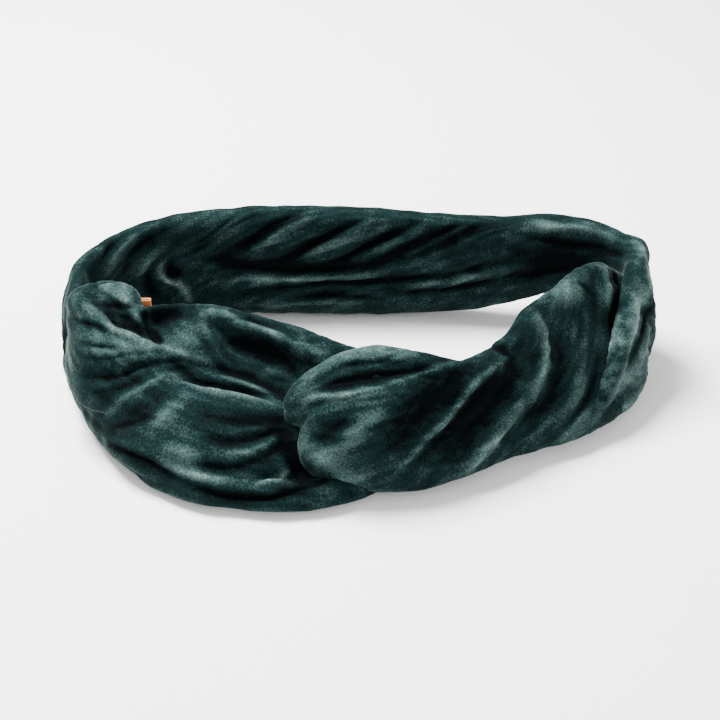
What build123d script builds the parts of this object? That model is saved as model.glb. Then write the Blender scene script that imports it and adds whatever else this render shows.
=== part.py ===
"""Knotted velvet headband: two linked cloth loops in front and one cloth tube round the back.

Millimetres, +Z up. The band stands on its lower edge on the XY plane and its knot faces -Y.
The origin is the middle of the band's bounding box, at the base.
"""

import os

from build123d import *

# ---- driving dimensions ------------------------------------------------------------------
RING_WIDTH = 218.0  # overall, left to right, lying relaxed
BACK_FACE_Y = 63.4  # the tube's outer face at the middle of the back
TUBE_HEIGHT = 46.0
TUBE_THICKNESS = 14.0  # two layers of velvet and the air between them
VELVET = 1.6  # one layer, with its pile

KNOT = Vector(-4.0, -41.0, 22.5)  # middle of the knot
LEAN = 0.36  # how far the knot leans back, mm in Y for each mm in Z
RIGHT_BIGHT_REACH = 20.0  # how far left of the knot's middle the right loop turns back
LEFT_BIGHT_REACH = 21.0  # how far right of the knot's middle the left loop turns back
RIGHT_LEG_SPREAD = 12.6  # the right loop's legs, before and behind the knot's middle
LEFT_LEG_SPREAD = 15.0  # the left loop's legs, above and below the knot's middle

MOUTH_BASE_Y = -12.0  # where the tube's slanted mouths meet the ground plane
MOUTH_SLANT = 0.78  # how far the mouths slope back, mm in Y for each mm in Z
MOUTH_DEPTH = 13.0  # how far the loops' ends go into the tube
END_HALF_THICK = 3.0  # a loop's end, pressed flat inside the tube
UPPER_END_Z = 32.0  # middle of a loop's upper end
LOWER_END_Z = 12.5  # middle of a loop's lower end

ELASTIC_WIDTH = 25.0
ELASTIC_THICKNESS = 1.2
ELASTIC_INSET = 3.6  # the elastic lies this far inside the tube's middle line
ELASTIC_LAP = 5.0  # from the tube's mouth to the elastic's end

THREAD_RADIUS = 0.25
STITCH = 2.6  # length of one stitch
SEAM_PITCH = 6.5  # from one stitch to the next in a long seam
MOUTH_PITCH = 4.0  # the same along a tube's mouth
TACK_PITCH = 4.5  # the same across the elastic's ends

LABEL_LENGTH = 11.0
LABEL_HEIGHT = 12.0
LABEL_THICKNESS = 1.8  # both layers of the folded label
LABEL_PLY = 0.6
LABEL_HINGE = Vector(-82.0, -3.4, 37.0)  # middle of the label's sewn edge

UP = Vector(0, 0, 1)
side_x = (RING_WIDTH - TUBE_THICKNESS) / 2
back_y = BACK_FACE_Y - TUBE_THICKNESS / 2
half_thickness = TUBE_THICKNESS / 2
end_x = side_x + 0.6  # the loops' ends lie a little outside the middle, clear of the elastic


# ---- helpers -----------------------------------------------------------------------------
def lean(x, y, z):
    """A point of the upright knot, after the knot leans back."""
    return Vector(x, y + LEAN * (z - KNOT.Z), z)


def mouth_y(z):
    """Where the tube's mouths stand at height z."""
    return MOUTH_BASE_Y + MOUTH_SLANT * z


def mouth_plane(inset):
    """The slanted plane of the mouths, moved into the tube; its normal points to the back."""
    return Plane(
        origin=(0, MOUTH_BASE_Y + inset, 0), x_dir=(1, 0, 0), z_dir=(0, 1, -MOUTH_SLANT)
    )


def section_plane(stations, i):
    """The plane across a strip of cloth at one of its stations, broad side along its X."""
    before = stations[max(i - 1, 0)][0]
    after = stations[min(i + 1, len(stations) - 1)][0]
    along = (Vector(*after) - Vector(*before)).normalized()
    broad = Vector(*stations[i][1])
    broad = broad - along * broad.dot(along)
    return Plane(origin=stations[i][0], x_dir=broad, z_dir=along)


def cloth_strip(stations):
    """A gathered strip as one solid; a station is (centre, broad side, half width, half thickness)."""
    with BuildPart() as strip:
        for i, (_, _, half_width, half_thick) in enumerate(stations):
            with BuildSketch(section_plane(stations, i)):
                SlotOverall(2 * half_width, 2 * half_thick)
        loft(ruled=True)
    return strip.part


def on_cloth(cloth, point):
    """The point of the cloth's surface nearest to a point."""
    return cloth.distance_to_with_closest_points(point)[1]


def stitch_row(starts, targets):
    """Stitches as separate solids, each from a start towards its target."""
    with BuildPart() as row:
        for start, target in zip(starts, targets):
            with BuildSketch(Plane(origin=start, z_dir=target - start)):
                Circle(THREAD_RADIUS)
        extrude(amount=STITCH)
    return row.part


def seam_along(cloth, guide):
    """A seam that follows a guide line over the cloth, its stitches half sunk in the cloth."""
    count = int(guide.length / SEAM_PITCH)
    starts = [on_cloth(cloth, guide @ ((i + 0.2) / count)) for i in range(count)]
    targets = [on_cloth(cloth, guide @ ((i + 0.6) / count)) for i in range(count)]
    return stitch_row(starts, targets)


def eye_side_guide(stations, side):
    """A line along the side of a loop's strip that faces the loop's own eye."""
    points = []
    for i, station in enumerate(stations):
        points.append(Vector(*station[0]) + section_plane(stations, i).y_dir * side * station[3])
    with BuildLine() as guide:
        Spline(*points)
    return guide.wire()


# ---- left loop: a U that stands upright, one leg above the other -------------------------
upper_z = KNOT.Z + LEFT_LEG_SPREAD
lower_z = KNOT.Z - LEFT_LEG_SPREAD
left_turn_x = KNOT.X + LEFT_BIGHT_REACH
left_stations = [
    ((-end_x, mouth_y(UPPER_END_Z) + MOUTH_DEPTH, UPPER_END_Z), (0, 0, 1), 9, END_HALF_THICK),
    ((-end_x, mouth_y(UPPER_END_Z), UPPER_END_Z), (0, 0, 1), 9.2, END_HALF_THICK),
    ((-end_x + 2, 0, 32), (0.1, 0, 1), 10, 4.2),
    ((-92, -11.5, 32), (0.3, 0.3, 0.9), 12.5, 5.5),
    ((-77, -16.5, 33), (0.2, 0.6, 0.75), 13.5, 6.5),
    ((-58, -24, 32), (0, 0.7, 0.7), 15, 6),
    ((-40, -31, 33.5), (0, 0.88, 0.45), 12.8, 5.8),
    (lean(-20, KNOT.Y + 0.5, upper_z + 0.4), (0, 1, 0.1), 7.2, 5.2),
    (lean(left_turn_x - 14, KNOT.Y, upper_z), (0, 1, 0), 6.3, 5.2),
    (lean(left_turn_x - 4, KNOT.Y, KNOT.Z + 11), (0, 1, 0), 6.3, 5.8),
    (lean(left_turn_x, KNOT.Y, KNOT.Z), (0, 1, 0), 6.3, 6),
    (lean(left_turn_x - 4, KNOT.Y, KNOT.Z - 11), (0, 1, 0), 6.3, 5.8),
    (lean(left_turn_x - 14, KNOT.Y, lower_z - 0.6), (0, 1, 0), 6.3, 5.2),
    (lean(-20, KNOT.Y + 0.5, lower_z - 1), (0, 1, 0), 7.2, 5.2),
    ((-40, -50.5, 7.6), (0, 1, 0.15), 12.2, 6),
    ((-58, -48.5, 9.5), (0, 0.8, 0.6), 11.5, 6.6),
    ((-76, -41, 11), (0.2, 0.6, 0.75), 10.5, 6.5),
    ((-92, -27, 11.5), (0.3, 0.3, 0.9), 9.8, 5.5),
    ((-end_x + 2, -14, 12), (0.1, 0, 1), 9.2, 4),
    ((-end_x, mouth_y(LOWER_END_Z), LOWER_END_Z), (0, 0, 1), 8.6, END_HALF_THICK),
    ((-end_x, mouth_y(LOWER_END_Z) + MOUTH_DEPTH, LOWER_END_Z), (0, 0, 1), 8.6, END_HALF_THICK),
]
left_loop = cloth_strip(left_stations)
left_loop_stitches = seam_along(left_loop, eye_side_guide(left_stations, -1))

# ---- right loop: a U that lies level and passes through the left loop's eye -----------------
front_y = KNOT.Y - RIGHT_LEG_SPREAD
rear_y = KNOT.Y + RIGHT_LEG_SPREAD
right_turn_x = KNOT.X - RIGHT_BIGHT_REACH
right_stations = [
    ((end_x, mouth_y(LOWER_END_Z) + MOUTH_DEPTH, LOWER_END_Z), (0, 0, 1), 8.6, END_HALF_THICK),
    ((end_x, mouth_y(LOWER_END_Z), LOWER_END_Z), (0, 0, 1), 8.6, END_HALF_THICK),
    ((end_x - 2, -14, 12), (0, 0, 1), 9.2, 4),
    ((92, -23, 12.5), (-0.1, 0.3, 0.9), 11, 5),
    ((76, -32, 15.5), (0, 0.4, 0.9), 14.5, 5),
    ((56, -43, 18.5), (0, 0.45, 0.9), 17.5, 5),
    (lean(36, -50, 21.5), (0, LEAN, 1), 20.5, 4.4),
    (lean(14, front_y, KNOT.Z), (0, LEAN, 1), 20.8, 4.2),
    (lean(-5, front_y, KNOT.Z), (0, LEAN, 1), 15.8, 4.2),
    (lean(right_turn_x + 4, KNOT.Y - 8.7, KNOT.Z - 0.5), (0, LEAN, 1), 8.2, 4.6),
    (lean(right_turn_x, KNOT.Y, KNOT.Z - 0.5), (0, LEAN, 1), 7.2, 5.2),
    (lean(right_turn_x + 4, KNOT.Y + 8.7, KNOT.Z - 0.5), (0, LEAN, 1), 8, 4.6),
    (lean(-6, rear_y, KNOT.Z - 3), (0, LEAN, 1), 11, 4.2),
    (lean(14, rear_y, KNOT.Z - 3), (0, LEAN, 1), 11, 4.2),
    ((36, -29, 25), (0, 0.4, 0.9), 14, 4.6),
    ((56, -23, 30), (0, 0.5, 0.9), 14, 4.8),
    ((76, -13, 33), (0, 0.4, 0.9), 12.5, 4.8),
    ((92, -6, 33), (-0.1, 0.2, 0.9), 11, 4.6),
    ((end_x - 2, 3, 32), (0, 0, 1), 9.6, 4),
    ((end_x, mouth_y(UPPER_END_Z), UPPER_END_Z), (0, 0, 1), 9.2, END_HALF_THICK),
    ((end_x, mouth_y(UPPER_END_Z) + MOUTH_DEPTH, UPPER_END_Z), (0, 0, 1), 9, END_HALF_THICK),
]
right_loop = cloth_strip(right_stations)
right_loop_stitches = seam_along(right_loop, eye_side_guide(right_stations, 1))

# ---- back tube and the elastic inside it ------------------------------------------------------
side_start_y = MOUTH_BASE_Y - 4
with BuildLine() as tube_route:
    Spline(
        (-side_x, side_start_y),
        (-side_x, 4),
        (-side_x + 0.5, 22),
        (-81, back_y - 9.5),
        (-42, back_y - 1),
        (0, back_y),
        (42, back_y - 1.5),
        (83, back_y - 10.5),
        (side_x - 0.5, 22),
        (side_x, 4),
        (side_x, side_start_y),
        tangents=((0, 1), (0, -1)),
    )
tube_start = Plane(origin=(-side_x, side_start_y, 0), x_dir=UP, z_dir=(0, 1, 0))

with BuildPart() as back_tube:
    with BuildSketch(tube_start):
        with Locations((TUBE_HEIGHT / 2, 0)):
            SlotOverall(TUBE_HEIGHT, TUBE_THICKNESS)
            SlotOverall(
                TUBE_HEIGHT - 2 * VELVET, TUBE_THICKNESS - 2 * VELVET, mode=Mode.SUBTRACT
            )
    sweep(path=tube_route.wire())
    split(bisect_by=mouth_plane(0), keep=Keep.TOP)

with BuildPart() as elastic_band:
    with BuildSketch(tube_start):
        with Locations((TUBE_HEIGHT / 2, ELASTIC_INSET)):
            Rectangle(ELASTIC_WIDTH, ELASTIC_THICKNESS)
    sweep(path=tube_route.wire())
    split(bisect_by=mouth_plane(ELASTIC_LAP), keep=Keep.TOP)


# ---- sewing ---------------------------------------------------------------------------------
def mouth_stitches(side):
    """Stitches behind one mouth of the tube, on its outer and its inner face."""
    starts = []
    targets = []
    for face_x in (side_x + half_thickness, side_x - half_thickness):
        z = 9.0
        while z < TUBE_HEIGHT - 9:
            starts.append(on_cloth(back_tube.part, Vector(side * face_x, mouth_y(z) + 2, z)))
            targets.append(on_cloth(back_tube.part, Vector(side * face_x, mouth_y(z + 2) + 2, z + 2)))
            z += MOUTH_PITCH
    return stitch_row(starts, targets)


def elastic_tacks(side):
    """Two short rows of stitches across one end of the elastic."""
    face_x = side_x - ELASTIC_INSET + ELASTIC_THICKNESS / 2
    low = (TUBE_HEIGHT - ELASTIC_WIDTH) / 2
    starts = []
    for row in (2.5, 6.0):
        for i in range(int(ELASTIC_WIDTH / TACK_PITCH)):
            z = low + 2 + i * TACK_PITCH
            starts.append(Vector(side * face_x, mouth_y(z) + ELASTIC_LAP + row, z))
    return stitch_row(starts, [start + UP for start in starts])


def tube_seam():
    """The tube's long seam, low on its inner face."""
    route = tube_route.wire()
    count = int(route.length / SEAM_PITCH)
    starts = []
    targets = []
    for i in range(4, count - 3):
        for share, ends in ((0.2, starts), (0.6, targets)):
            place = (i + share) / count
            inward = (route % place).cross(UP)
            ends.append(on_cloth(back_tube.part, route @ place + inward * TUBE_THICKNESS + UP * 9))
    return stitch_row(starts, targets)


left_mouth_stitches = mouth_stitches(-1)
right_mouth_stitches = mouth_stitches(1)
left_elastic_stitches = elastic_tacks(-1)
right_elastic_stitches = elastic_tacks(1)
back_tube_stitches = tube_seam()

# ---- label: a folded tag, sewn along its open end, that flips about that edge -------------------
with BuildPart() as label:
    with BuildSketch(Plane.XY.offset(LABEL_HINGE.Z - LABEL_HEIGHT / 2)):
        with Locations((LABEL_HINGE.X + LABEL_LENGTH / 2 - LABEL_THICKNESS / 2, LABEL_HINGE.Y)):
            SlotOverall(LABEL_LENGTH + LABEL_THICKNESS, LABEL_THICKNESS)
            SlotOverall(
                LABEL_LENGTH + LABEL_THICKNESS - 2 * LABEL_PLY,
                LABEL_THICKNESS - 2 * LABEL_PLY,
                mode=Mode.SUBTRACT,
            )
        with Locations((LABEL_HINGE.X - LABEL_THICKNESS, LABEL_HINGE.Y)):
            Rectangle(2 * LABEL_THICKNESS, 2 * LABEL_THICKNESS, mode=Mode.SUBTRACT)
    extrude(amount=LABEL_HEIGHT)

label_starts = []
for i in range(3):
    z = LABEL_HINGE.Z - LABEL_HEIGHT / 2 + 0.8 + i * MOUTH_PITCH
    label_starts.append(on_cloth(left_loop, Vector(LABEL_HINGE.X - 1, LABEL_HINGE.Y, z)))
label_stitches = stitch_row(
    label_starts, [on_cloth(left_loop, start + UP * STITCH) for start in label_starts]
)

# ---- files -----------------------------------------------------------------------------------
os.makedirs("parts", exist_ok=True)
pieces = {
    "left_loop": left_loop,
    "right_loop": right_loop,
    "back_tube": back_tube.part,
    "elastic_band": elastic_band.part,
    "label": label.part,
    "left_loop_stitches": left_loop_stitches,
    "right_loop_stitches": right_loop_stitches,
    "back_tube_stitches": back_tube_stitches,
    "left_mouth_stitches": left_mouth_stitches,
    "right_mouth_stitches": right_mouth_stitches,
    "left_elastic_stitches": left_elastic_stitches,
    "right_elastic_stitches": right_elastic_stitches,
    "label_stitches": label_stitches,
}
for name, piece in pieces.items():
    piece.label = name
    export_step(piece, f"parts/{name}.step")
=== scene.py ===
"""Knotted velvet headband: the looks. Each cloth piece is made of overlapping rolls of velvet,
fused into one skin, then creased by listed strokes. Shapes are in millimetres until
they become meshes; everything else is in metres, in the frame of the CAD model.
"""

import bmesh
import bpy
import numpy as np
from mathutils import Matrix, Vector, noise
from mathutils.bvhtree import BVHTree


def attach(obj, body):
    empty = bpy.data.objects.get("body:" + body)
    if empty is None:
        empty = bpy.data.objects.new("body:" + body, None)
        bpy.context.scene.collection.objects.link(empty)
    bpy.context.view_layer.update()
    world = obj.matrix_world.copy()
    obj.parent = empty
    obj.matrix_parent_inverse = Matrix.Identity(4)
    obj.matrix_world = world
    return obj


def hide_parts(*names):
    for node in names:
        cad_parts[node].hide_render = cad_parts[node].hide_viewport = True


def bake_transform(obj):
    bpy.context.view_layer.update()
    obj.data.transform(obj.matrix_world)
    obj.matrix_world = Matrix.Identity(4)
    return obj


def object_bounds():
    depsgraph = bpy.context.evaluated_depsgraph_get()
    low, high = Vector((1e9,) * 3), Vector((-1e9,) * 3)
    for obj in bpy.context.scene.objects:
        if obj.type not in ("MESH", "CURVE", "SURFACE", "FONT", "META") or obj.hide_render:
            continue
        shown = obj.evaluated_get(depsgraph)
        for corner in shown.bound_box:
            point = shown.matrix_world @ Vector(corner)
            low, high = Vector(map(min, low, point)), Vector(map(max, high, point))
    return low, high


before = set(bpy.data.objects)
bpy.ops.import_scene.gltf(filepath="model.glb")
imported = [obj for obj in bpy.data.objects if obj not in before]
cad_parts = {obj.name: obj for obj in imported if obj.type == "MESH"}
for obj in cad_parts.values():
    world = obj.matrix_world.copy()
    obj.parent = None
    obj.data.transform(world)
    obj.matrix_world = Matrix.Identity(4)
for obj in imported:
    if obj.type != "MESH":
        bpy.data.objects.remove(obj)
cad_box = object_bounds()

MM = 0.001

# the skin of each cloth piece
VOXEL = 0.7  # mm, the size of the skin's mesh
SKIN_PASSES = 4  # how many times the skin is smoothed
ROLL_STEP = 1.0  # mm between a roll's rings
ROLL_SIDES = 56  # points round a roll
WIDTH_POWER = 0.9  # of a roll's section; 1 would make it an ellipse, less makes it squarer
THICKNESS_POWER = 0.8
ROLL_TIP = 0.02  # square of a roll's size at its very end, as a share of the full size
THINNEST = 1.0  # mm, where a roll's half is thinner than this its pleats are shallower
PLEAT_POWER = 1.4  # how steep a pleat's sides are
PLEAT_FADE = 0.5  # how soon a pleat fades towards a roll's ends

# creases and wrinkles
CREASE_STEP = 0.8  # mm between a crease's places
CREASE_REACH = 4  # times its half width, where a crease stops acting
CREASE_FADE = 0.6  # how soon a crease fades towards its ends
VALLEY_POWER = 1.2  # a valley is sharper at its bottom than a ridge at its top
VALLEY_STEEPNESS = 1.3
PAINTED_LIGHT_STEEPNESS = 0.8  # painted highlight or shade spreads a little wider than its crease
WRINKLE_SIZE = 9  # mm across
WRINKLE_HEIGHT = 0.45  # mm
COMB_SIZE = 2.6  # mm across
COMB_LENGTH = 6  # times as long as they are wide
COMB_HEIGHT = 0.32  # mm
COMB_PAINTED_LIGHT = 0.25  # how strongly painted highlight and shade follow the fine wrinkles
COMB_SEED = 20  # added to a wrinkle's seed
SEED_SHIFT = (17.3, 5.1, 9.7)  # from one seed's noise to the next one's
BAND_RADIUS = 85  # mm, to measure the way round the band
BAND_PROPORTION = 1.7  # the band's width over its depth
BAND_MIDDLE_Y = 8  # mm, a place inside the band's ring, to look out from
INWARD_REACH = 45  # mm, farther than any cloth is thick

# sewing and elastic
STITCH = 2.6  # mm, one stitch
STITCH_STEP = 0.4  # mm between its rings
STITCH_SIDES = 8  # points round it
# a stitch's course, as (place along it from -1 to 1, mm above the skin)
STITCH_COURSE = ((-1, -0.45), (-0.55, -0.12), (0, -0.06), (0.55, -0.12), (1, -0.45))
THREAD_RADIUS = 0.25  # mm
THREAD_SHADE = 0.6  # share of the colour's light, in the twist's hollows
WELD = 0.00001  # m, points of one stitch that lie closer are one point
ELASTIC_TOP = 35.5  # mm, the elastic's upper edge
ELASTIC_NARROW = 0.34  # share of the elastic's width that is taken away from below
NARROW_FROM_X = (45, 68)  # mm, where the narrowing starts and where it is full
NARROW_FROM_Y = (14, 30)

# floor and camera
FLOOR_REACH = 3000  # mm each way
FLOOR_DROP = 0.0003  # m under the lowest CAD point, so that the cloth rests on it
AIM_SHIFT = (0, -0.0094, -0.001)  # m from the middle of the CAD box
CAMERA_DISTANCE = 0.5  # m
CAMERA_ELEVATION = np.radians(35)
CAMERA_LENS = 72.5  # mm


# ---- numbers ---------------------------------------------------------------------------------
def unit(rows):
    """Each row as a unit vector."""
    return rows / np.maximum(np.linalg.norm(rows, axis=-1, keepdims=True), 1e-9)


def across(rows, axis):
    """What is left of each row across an axis, as unit vectors."""
    return unit(rows - axis * np.sum(rows * axis, axis=1, keepdims=True))


def smooth_rows(rows, step):
    """Rows of numbers, the first three a point, read along one smooth curve every step mm."""
    rows = np.array(rows, float)
    gaps = np.linalg.norm(np.diff(rows[:, :3], axis=0), axis=1)
    knots = np.concatenate(([0.0], np.cumsum(gaps)))
    slopes = np.gradient(rows, knots, axis=0)
    places = np.linspace(0, knots[-1], int(knots[-1] / step) + 2)
    i = np.clip(np.searchsorted(knots, places, side="right") - 1, 0, len(knots) - 2)
    width = (knots[i + 1] - knots[i])[:, None]
    t = (places - knots[i])[:, None] / width
    start = (2 * t**3 - 3 * t**2 + 1) * rows[i] + (t**3 - 2 * t**2 + t) * width * slopes[i]
    end = (3 * t**2 - 2 * t**3) * rows[i + 1] + (t**3 - t**2) * width * slopes[i + 1]
    return start + end


def smooth_step(values, start, end):
    """0 before the start, 1 after the end, smooth between."""
    t = np.clip((values - start) / (end - start), 0, 1)
    return t * t * (3 - 2 * t)


def noise_at(points, size, seed):
    """Smooth noise from -1 to 1 at points in mm, its features about size mm across."""
    shift = Vector([seed * part for part in SEED_SHIFT])
    return np.array([noise.noise(Vector(p) / size + shift) for p in points])


# ---- rolls of cloth --------------------------------------------------------------------------
def roll(stations, pleats=(), step=ROLL_STEP, sides=ROLL_SIDES):
    """A closed roll of cloth. A station is (x, y, z, broad side's x, y, z, half width, half thickness);
    a pleat is (place across at the start, at the end, depth, half width), places from -1 to 1."""
    path = smooth_rows(stations, step)
    centre = path[:, :3]
    along = unit(np.gradient(centre, axis=0))
    broad = across(path[:, 3:6], along)
    face = np.cross(along, broad)
    travel = np.concatenate(([0.0], np.cumsum(np.linalg.norm(np.diff(centre, axis=0), axis=1))))
    from_end = np.minimum(travel, travel[-1] - travel)
    to_full = np.minimum(from_end / path[:, 7], 1)  # a roll's end is as round as it is thick
    closing = np.sqrt(np.maximum(1 - (1 - to_full) ** 2, ROLL_TIP))
    half_width = path[:, 6] * closing
    half_thick = path[:, 7] * closing
    angle = np.linspace(0, 2 * np.pi, sides, endpoint=False)
    u = np.sign(np.cos(angle)) * np.abs(np.cos(angle)) ** WIDTH_POWER
    v = np.sign(np.sin(angle)) * np.abs(np.sin(angle)) ** THICKNESS_POWER
    share = (travel / travel[-1])[:, None]
    lift = np.ones((len(path), sides))
    for first, last, depth, spread in pleats:
        place = first + (last - first) * share
        sink = depth * np.exp(-((np.abs(u[None, :] - place) / spread) ** PLEAT_POWER))
        fade = np.sin(np.pi * share) ** PLEAT_FADE
        lift -= sink / np.maximum(half_thick, THINNEST)[:, None] * fade
    points = centre[:, None, :] + broad[:, None, :] * (half_width[:, None] * u)[:, :, None]
    points = points + face[:, None, :] * (half_thick[:, None] * v * lift)[:, :, None]
    return points


def roll_mesh(rolls):
    """Vertices and faces of several closed rolls."""
    vertices = []
    faces = []
    for points in rolls:
        base = len(vertices)
        rings, sides = points.shape[:2]
        vertices.extend(points.reshape(-1, 3).tolist())
        for i in range(rings - 1):
            for j in range(sides):
                k = (j + 1) % sides
                near = base + i * sides
                far = near + sides
                faces.append((near + j, near + k, far + k, far + j))
        faces.append(tuple(base + j for j in reversed(range(sides))))
        faces.append(tuple(base + (rings - 1) * sides + j for j in range(sides)))
    return vertices, faces


def new_object(name, vertices, faces):
    """A mesh object from points in mm."""
    mesh = bpy.data.meshes.new(name)
    mesh.from_pydata([(x * MM, y * MM, z * MM) for x, y, z in vertices], [], faces)
    mesh.validate()
    obj = bpy.data.objects.new(name, mesh)
    bpy.context.collection.objects.link(obj)
    return obj


def apply_modifiers(obj):
    """The object's modified mesh becomes its mesh."""
    bpy.context.view_layer.update()
    graph = bpy.context.evaluated_depsgraph_get()
    mesh = bpy.data.meshes.new_from_object(obj.evaluated_get(graph))
    old = obj.data
    obj.modifiers.clear()
    obj.data = mesh
    bpy.data.meshes.remove(old)
    mesh.name = obj.name


def fused(name, rolls):
    """One skin round several rolls."""
    obj = new_object(name, *roll_mesh(rolls))
    remesh = obj.modifiers.new("skin", "REMESH")
    remesh.mode = "VOXEL"
    remesh.voxel_size = VOXEL * MM
    remesh.use_smooth_shade = True
    relax = obj.modifiers.new("relax", "SMOOTH")
    relax.factor = 0.5
    relax.iterations = SKIN_PASSES
    apply_modifiers(obj)
    return obj


# ---- creases ---------------------------------------------------------------------------------
def read_points(obj):
    """The object's points in mm."""
    flat = np.empty(len(obj.data.vertices) * 3)
    obj.data.vertices.foreach_get("co", flat)
    return flat.reshape(-1, 3) / MM


def read_normals(obj):
    """The object's vertex normals."""
    flat = np.empty(len(obj.data.vertices) * 3)
    obj.data.vertex_normals.foreach_get("vector", flat)
    return flat.reshape(-1, 3)


def write_points(obj, points):
    """Move the object's points, in mm."""
    obj.data.vertices.foreach_set("co", (points * MM).ravel())
    obj.data.update()


def crease(obj, strokes, painted_light):
    """Press strokes into the skin. A stroke is (height, half width, sheen, points): a ridge where
    height is over 0, a sharp valley below it; its sheen is painted along it, as painted highlight
    where over 0 and painted shade where below 0."""
    points = read_points(obj)
    normals = read_normals(obj)
    skin = BVHTree.FromPolygons(points.tolist(), [tuple(f.vertices) for f in obj.data.polygons])
    moved = points.copy()
    for height, spread, sheen, route in strokes:
        line = smooth_rows([skin.find_nearest(Vector(place))[0] for place in route], CREASE_STEP)
        line = np.array([skin.find_nearest(Vector(place))[0] for place in line])
        low = line.min(axis=0) - CREASE_REACH * spread
        high = line.max(axis=0) + CREASE_REACH * spread
        near = np.flatnonzero(np.all((points > low) & (points < high), axis=1))
        gap = np.linalg.norm(points[near][:, None, :] - line[None, :, :], axis=2)
        nearest = gap.argmin(axis=1)
        gap = gap[np.arange(len(near)), nearest] / spread
        fade = np.sin(np.pi * (nearest + 0.5) / len(line)) ** CREASE_FADE
        if height > 0:
            shape = np.exp(-(gap**2))
        else:
            shape = np.exp(-(gap**VALLEY_POWER) * VALLEY_STEEPNESS)
        moved[near] += normals[near] * (height * shape * fade)[:, None]
        # painted highlight along the stroke where its sheen is over 0, painted shade where below 0
        painted_light[near] += sheen * np.exp(-(gap**2) * PAINTED_LIGHT_STEEPNESS) * fade
    write_points(obj, moved)
    return painted_light


def wrinkle(obj, painted_light, seed, climb):
    """Shallow uneven wrinkles all over the skin, and fine combed ones that run along the band and
    climb by a share of the way; the fine ones get painted highlight on their crests and painted
    shade in their troughs."""
    points = read_points(obj)
    coarse = noise_at(points, WRINKLE_SIZE, seed)
    turn = np.arctan2(points[:, 1] * BAND_PROPORTION, points[:, 0])
    travel = turn * BAND_RADIUS
    radius = np.hypot(points[:, 1] * BAND_PROPORTION, points[:, 0])
    fine_places = np.stack((travel / COMB_LENGTH, points[:, 2] - climb * travel, radius), axis=1)
    fine = noise_at(fine_places, COMB_SIZE, seed + COMB_SEED)
    lift = WRINKLE_HEIGHT * coarse + COMB_HEIGHT * fine
    write_points(obj, points + read_normals(obj) * lift[:, None])
    # painted highlight on the fine wrinkles' crests, painted shade in their troughs
    return painted_light + COMB_PAINTED_LIGHT * fine


def store(obj, painted_light):
    """Keep the painted highlight and shade and the resting place on the mesh, for the material."""
    attribute = obj.data.attributes.new("painted_light", "FLOAT", "POINT")
    attribute.data.foreach_set("value", np.clip(painted_light, -1, 1).astype(np.float32))
    rest = obj.data.attributes.new("rest", "FLOAT_VECTOR", "POINT")
    rest.data.foreach_set("vector", (read_points(obj) * MM).astype(np.float32).ravel())
    for polygon in obj.data.polygons:
        polygon.use_smooth = True


# ---- materials -------------------------------------------------------------------------------
def material(name):
    """A new node material, its way to link nodes, its shader and its way to add nodes."""
    made = bpy.data.materials.new(name)
    made.use_nodes = True
    nodes = made.node_tree.nodes
    link = made.node_tree.links.new

    def add(kind, links=(), **settings):
        node = nodes.new(kind)
        for key, value in settings.items():
            setattr(node, key, value)
        for target, source in links:
            link(source, node.inputs[target])
        return node

    return made, link, nodes["Principled BSDF"], add


def texture(add, kind, place, scale, **settings):
    """A texture node, read at a place."""
    node = add(kind, [("Vector", place)], **settings)
    node.inputs["Scale"].default_value = scale
    return node


def shade(link, shader, add, factor, dark, light):
    """The base colour goes from dark to light with a factor."""
    shades = add("ShaderNodeMix", [("Factor", factor)], data_type="RGBA")
    shades.inputs[6].default_value = dark
    shades.inputs[7].default_value = light
    link(shades.outputs[2], shader.inputs["Base Color"])


def emboss(link, shader, add, height, strength, distance):
    """The surface seems to rise, by up to a distance in metres, with a height from 0 to 1."""
    bump = add("ShaderNodeBump", [("Height", height)])
    bump.inputs["Strength"].default_value = strength
    bump.inputs["Distance"].default_value = distance
    link(bump.outputs["Normal"], shader.inputs["Normal"])


def weighted(add, value, weight):
    """A node that multiplies a value by a weight and adds its third input."""
    node = add("ShaderNodeMath", [(0, value)], operation="MULTIPLY_ADD")
    node.inputs[1].default_value = weight
    return node


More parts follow.
